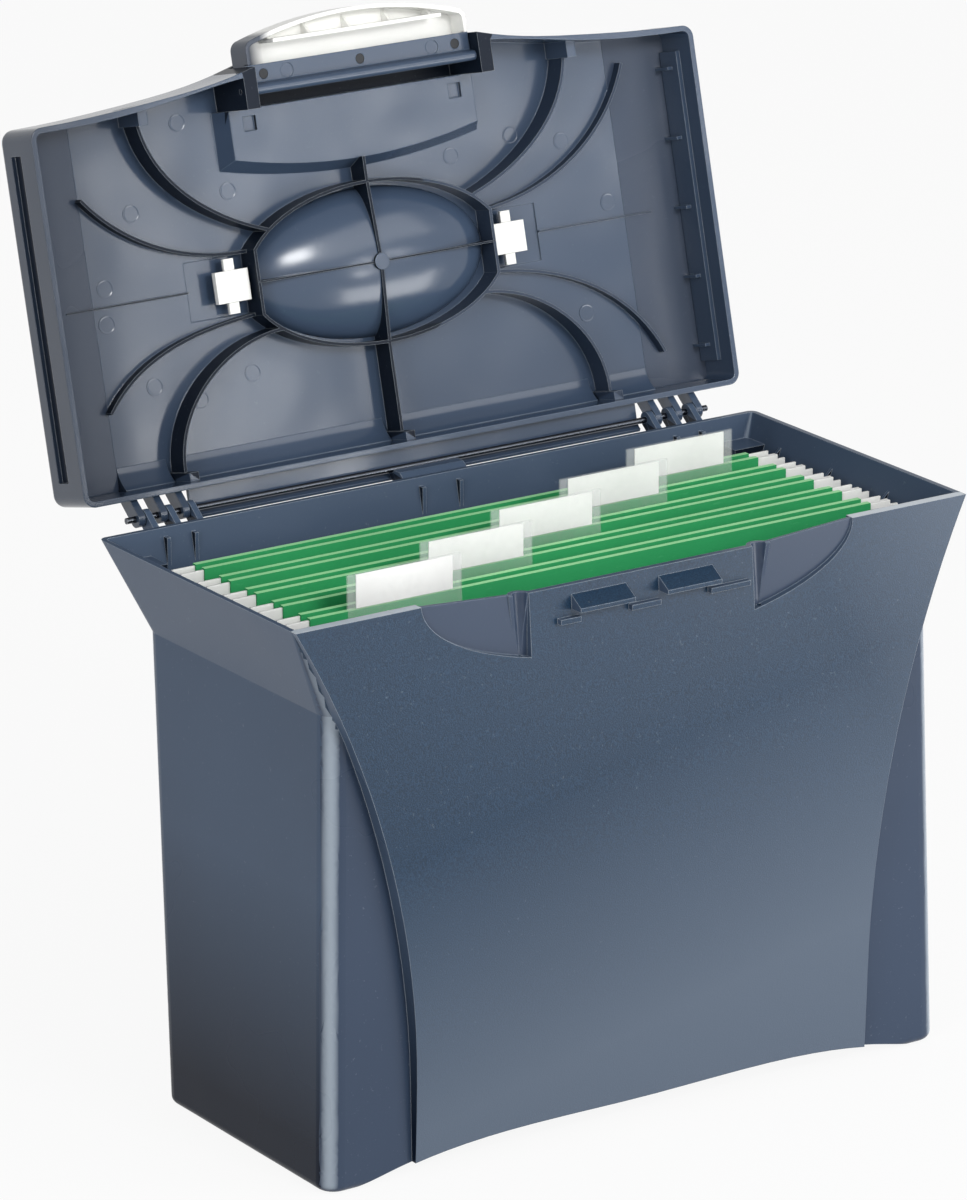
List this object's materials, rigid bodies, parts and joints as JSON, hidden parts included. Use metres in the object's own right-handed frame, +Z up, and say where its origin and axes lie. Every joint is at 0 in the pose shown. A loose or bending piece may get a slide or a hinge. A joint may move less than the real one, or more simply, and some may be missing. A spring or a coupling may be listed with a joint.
{
  "type": "portable file box",
  "caption": "Open plastic file box with a flared tub, hinged lid, strap handle, flip latch and hanging suspension files with tabs.",
  "frame": {"origin": "on the surface the box stands on, under the middle of the opened box's bounding box", "axes": "+X to the right seen from the front, +Y from the latch side to the hinge side, +Z up"},
  "size_m": [0.37, 0.2662, 0.4821],
  "materials": {
    "slate_plastic": "moulded, softly glossy",
    "dark_plastic": "moulded, softly glossy",
    "pale_plastic": "satin",
    "steel": "drawn wire",
    "green_card": "matt dyed card",
    "clear_plastic": "clear",
    "white_paper": "plain"
  },
  "bodies": {
    "tub": {"tub": "slate_plastic", "hinge_rod": "steel"},
    "lid": {"lid": "slate_plastic", "latch_pivot_rod": "steel"},
    "latch": {"latch_body": "dark_plastic", "latch_cover": "pale_plastic", "latch_screws": "steel"},
    "handle": {"carry_handle": "pale_plastic"},
    "file_1": {"file_1": "green_card", "hanger_front_1": "pale_plastic", "hanger_rear_1": "pale_plastic", "tab_holder_1": "clear_plastic", "tab_label_1": "white_paper"},
    "file_2": {"file_2": "green_card", "hanger_front_2": "pale_plastic", "hanger_rear_2": "pale_plastic", "tab_holder_2": "clear_plastic", "tab_label_2": "white_paper"},
    "file_3": {"file_3": "green_card", "hanger_front_3": "pale_plastic", "hanger_rear_3": "pale_plastic", "tab_holder_3": "clear_plastic", "tab_label_3": "white_paper"},
    "file_4": {"file_4": "green_card", "hanger_front_4": "pale_plastic", "hanger_rear_4": "pale_plastic", "tab_holder_4": "clear_plastic", "tab_label_4": "white_paper"},
    "file_5": {"file_5": "green_card", "hanger_front_5": "pale_plastic", "hanger_rear_5": "pale_plastic", "tab_holder_5": "clear_plastic", "tab_label_5": "white_paper"}
  },
  "joints": [
    {"name": "lid_hinge", "type": "hinge", "parent": "tub", "child": "lid", "pos_m": [0, 0.05539, 0.272], "axis": [-1, 0, 0], "range_deg": [-104, 0]},
    {"name": "latch_pivot", "type": "hinge", "parent": "lid", "child": "latch", "pos_m": [0, 0.10344, 0.45233], "axis": [-1, 0, 0], "range_deg": [-90, 0]},
    {"name": "handle_slide", "type": "slide", "parent": "lid", "child": "handle", "axis": [0, 0.9703, -0.2419], "range_m": [0, 0.004]},
    {"name": "file_1_lift", "type": "slide", "parent": "tub", "child": "file_1", "axis": [0, 0, 1], "range_m": [0, 0.25]},
    {"name": "file_2_lift", "type": "slide", "parent": "tub", "child": "file_2", "axis": [0, 0, 1], "range_m": [0, 0.25]},
    {"name": "file_3_lift", "type": "slide", "parent": "tub", "child": "file_3", "axis": [0, 0, 1], "range_m": [0, 0.25]},
    {"name": "file_4_lift", "type": "slide", "parent": "tub", "child": "file_4", "axis": [0, 0, 1], "range_m": [0, 0.25]},
    {"name": "file_5_lift", "type": "slide", "parent": "tub", "child": "file_5", "axis": [0, 0, 1], "range_m": [0, 0.25]}
  ]
}
